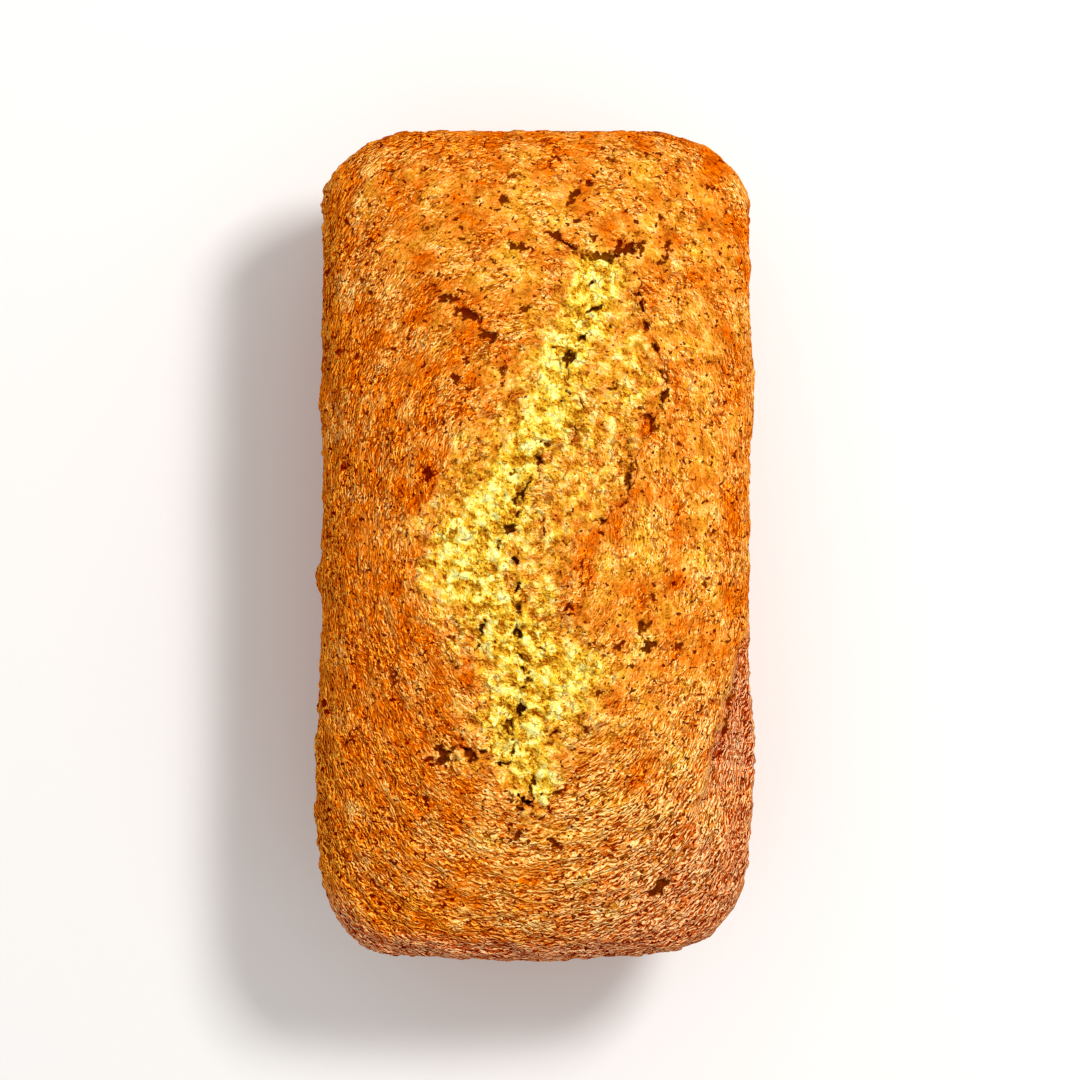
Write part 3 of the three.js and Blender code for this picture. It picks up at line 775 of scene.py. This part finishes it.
# Painted shade in the seams between the crumb's lumps, broken up by a pattern
torn_lines = span(tree, speckle(tree, place, 1.8 * MM), 0.5, 0.58)
seam_shade = maths(tree, "MULTIPLY", span(tree, lumps, SEAM_EDGE, SEAM), torn_lines)
lines = maths(tree, "MULTIPLY", seam_shade, maths(tree, "MULTIPLY_ADD", busy, 0.45, 0.3))
# Small pores with shade painted in them, on the browner parts
pore_shade = span(tree, speckle(tree, place, 1.5 * MM, 2), 0.67, 0.685)
holes = maths(tree, "MULTIPLY", pore_shade, span(tree, brown, 0.2, 0.5))

# The crumb's tone: paler cream patches, and light and shade painted on the slopes of its lumps and curds
crumb_tone_and_painted_light = more(tree, 0.0, cream, 0.35, 0.5)
crumb_tone_and_painted_light = more(tree, crumb_tone_and_painted_light, mounds, mounds_shifted_for_shade, 0.12)
crumb_tone_and_painted_light = more(tree, crumb_tone_and_painted_light, curds_shifted_for_shade, curds, 0.5)
tone = maths(tree, "MULTIPLY_ADD", crumb_tone_and_painted_light, soft, 0.48)
# Light and shade painted on the slopes of the crust's plates, more where it is brown and busy, and on its
# ridges where it is wrinkled
painted_plate_light = maths(tree, "MULTIPLY_ADD", busy, 0.7, 0.3)
painted_plate_light = maths(tree, "MULTIPLY", painted_plate_light, maths(tree, "MULTIPLY_ADD", brown, 0.8, 0.3))
tone = more(tree, tone, plates_shifted_for_shade, plates, painted_plate_light)
tone = more(tree, tone, ridges_shifted_for_shade, ridges, maths(tree, "MULTIPLY", grooved, 1.45))
# Mottle, patches and grit, and the relief, whose crests are painted lighter and low parts painted darker
for part, weight in ((mottle, 0.5), (measure(tree, "relief"), 0.3), (patches, 0.12), (grit, 0.4)):
    tone = more(tree, tone, part, 0.5, weight)
# More contrast in the pink parts, whose pale strokes are partly painted highlights
tone = more(tree, 0.5, tone, 0.5, maths(tree, "MULTIPLY_ADD", side, 0.25, 1.0))

skin, *deeper = (toned(tree, tone, colours) for colours in BROWNED)
brown = more(tree, brown, patches, 0.5, 0.16)
for colours, (low, high) in zip(deeper, BROWNED_SPANS):
    share = add(tree, "MapRange", {0: brown, 1: low, 2: high}).outputs[0]
    skin = blend(tree, share, skin, colours)
skin = blend(tree, side, skin, toned(tree, tone, TIN_SIDE))
calm = maths(tree, "MULTIPLY_ADD", tone, 0.4, 0.3)
skin = blend(tree, measure(tree, "wall"), skin, toned(tree, calm, TIN_WALL))
# Shade painted into cracks, pits and the gash by their depth, from a shallow hollow to a deep one, and into
# the pores
ragged = more(tree, hollow, speckle(tree, place, 0.9 * MM, 2), 0.5, 1.6)
painted_shade_parts = (
    (maths(tree, "MULTIPLY", lines, 0.9), LINE_SHADE_COLOURS),
    (span(tree, ragged, 0.24, 0.4), HOLLOW_SHADE_COLOURS),
    (maths(tree, "MAXIMUM", span(tree, ragged, 0.5, 0.6), holes), DEEP_SHADE_COLOURS),
)
for share, (in_crumb, in_crust) in painted_shade_parts:
    skin = blend(tree, share, skin, blend(tree, brown, paint(*in_crumb), paint(*in_crust)))
tree.links.new(skin, shader.inputs["Base Color"])
shader.inputs["Roughness"].default_value = ROUGHNESS
shader.inputs["Specular IOR Level"].default_value = 0.0
height = maths(tree, "MULTIPLY", ridges, maths(tree, "MULTIPLY", grooved, 0.2))
height = maths(tree, "MULTIPLY_ADD", curds, maths(tree, "MULTIPLY", soft, 0.2), height)
for part, rises in ((mottle, 1.0), (mounds, 0.1), (plates, 0.15), (grit, 0.35), (lines, -0.2), (holes, -0.4)):
    height = maths(tree, "MULTIPLY_ADD", part, rises, height)
bump = add(tree, "Bump", {"Height": height, "Distance": BUMP_DEPTH, "Strength": 1.0})
tree.links.new(bump.outputs[0], shader.inputs["Normal"])
crust_mesh.materials.append(finish)

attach(crust, "root")
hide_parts("loaf")


# The torn crumb: the soft yellow inside, which swelled up through the split as the loaf rose and set there in
# lumps, with a crooked row of dark gaps down it. It is a fine grid over the tear, sunk under the crust all
# round, and closed below into a block that the loaf hides.

# The crumb's grid, how far it runs on under the crust, the height of the block's foot, and the holes in it.
# Then how deep it lies at the tear's edge, how much deeper in the middle, how far it dives under the crust,
# and the depth at which the shade painted into a gap is darkest
CRUMB_COLUMNS = 150
CRUMB_ROWS = 560
CRUMB_MARGIN = 8 * MM
CRUMB_FLOOR = 48 * MM
CRUMB_PITS = 150
CRUMB_SUNK = 0.4 * MM
CRUMB_DEEPER = 1.8 * MM
CRUMB_DIVE = 6 * MM
CRUMB_DARKEST = 2.2 * MM

crumb_mesh = closed_grid("torn_crumb", CRUMB_COLUMNS, CRUMB_ROWS, 1)
across, along, level = read_points(crumb_mesh)
y = stations[0] - CRUMB_MARGIN + (along + 1) / 2 * (stations[-1] - stations[0] + 2 * CRUMB_MARGIN)
x_left = np.interp(y, stations, left) - CRUMB_MARGIN
x_right = np.interp(y, stations, right) + CRUMB_MARGIN
x = x_left + (across + 1) / 2 * (x_right - x_left)
inside = tear_inside(x, y)
billows = 1.5 * np.abs(waves(x, y, 0, 5.5 * MM, 71)) + 0.9 * np.abs(waves(x, y, 0, 2.6 * MM, 72))
billows += 0.5 * flakes(x, y, 0, 4 * MM, 73) + 0.35 * flakes(x, y, 0, 2 * MM, 75)
billows += 0.2 * waves(x, y, 0, 1 * MM, 76)
cracks = pit_depth(x, y, CRUMB_PITS, 74)
for points, half_width, depth in CRACKS:
    cracks = np.maximum(cracks, crack_depth(x, y, points, half_width, depth))
sunk = CRUMB_SUNK + CRUMB_DEEPER * rise(inside, 0, 7 * MM)
dive = CRUMB_DIVE * rise(-inside, -0.3 * MM, 3.5 * MM)
z = crown_height(x, y, np.full(len(x), SHOULDER_REACH)) - sunk - dive + billows * MM - cracks
z = np.where(level < 0, CRUMB_FLOOR, z)
write_points(crumb_mesh, np.stack((x, y, z)) + shift[:, None])
crumb = placed("torn_crumb", crumb_mesh)
crumb_mesh.shade_smooth()

keep_measure(crumb_mesh, "brown", browning(x, y, np.full(len(x), SHOULDER_REACH)))
# The billows' relief, whose crests are painted lighter, and the depth of the gaps and pits, by which shade is
# painted into them
keep_measure(crumb_mesh, "relief", np.clip(0.1 + 0.7 * billows, 0, 1))
keep_measure(crumb_mesh, "hollow", np.clip(cracks / CRUMB_DARKEST, 0, 1))
for name, everywhere in (("grooved", 0.15), ("side", 0), ("wall", 0)):
    keep_measure(crumb_mesh, name, np.full(len(x), everywhere))
crumb_mesh.materials.append(finish)

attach(crumb, "root")
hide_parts("loaf")


# The stand: a plain pale floor under the loaf, a soft key light from the upper right, the room's own light,
# and a camera straight above
FLOOR_SIZE = 4.0
FLOOR_COLOUR = (240, 238, 235)

floor_shape = bmesh.new()
bmesh.ops.create_grid(floor_shape, x_segments=1, y_segments=1, size=FLOOR_SIZE / 2)
floor_mesh = bpy.data.meshes.new("floor")
floor_shape.to_mesh(floor_mesh)
floor_shape.free()
floor_finish, _, shader, _ = new_material("pale_floor")
shader.inputs["Base Color"].default_value = paint(*FLOOR_COLOUR)
shader.inputs["Roughness"].default_value = 0.9
floor_mesh.materials.append(floor_finish)
floor = placed("floor", floor_mesh)

KEY_PLACE = (0.5, 0.42, 1.0)
KEY_SIZE = 0.25
KEY_POWER = 9.9
ROOM_LIGHT = 0.67

key_light = bpy.data.lights.new("key", "AREA")
key_light.size = KEY_SIZE
key_light.energy = KEY_POWER
key = placed("key", key_light)
key.location = KEY_PLACE
key.rotation_euler = key.location.to_track_quat("Z", "Y").to_euler()

world = bpy.data.worlds.new("room")
world.use_nodes = True
world.node_tree.nodes["Background"].inputs["Color"].default_value = (1, 1, 1, 1)
world.node_tree.nodes["Background"].inputs["Strength"].default_value = ROOM_LIGHT
bpy.context.scene.world = world
bpy.context.scene.view_settings.view_transform = "Standard"

# The camera looks straight down, from far enough up that the loaf hides its own sides
CAMERA_HEIGHT = 1.2
VIEW_WIDTH = 280.8 * MM
VIEW_CENTRE = (1.04 * MM, 1.3 * MM)

camera_lens = bpy.data.cameras.new("camera")
camera_lens.lens = camera_lens.sensor_width * (CAMERA_HEIGHT - RIM_HEIGHT) / VIEW_WIDTH
camera = placed("camera", camera_lens)
camera.location = (VIEW_CENTRE[0] + shift[0], VIEW_CENTRE[1] + shift[1], CAMERA_HEIGHT)
bpy.context.scene.camera = camera
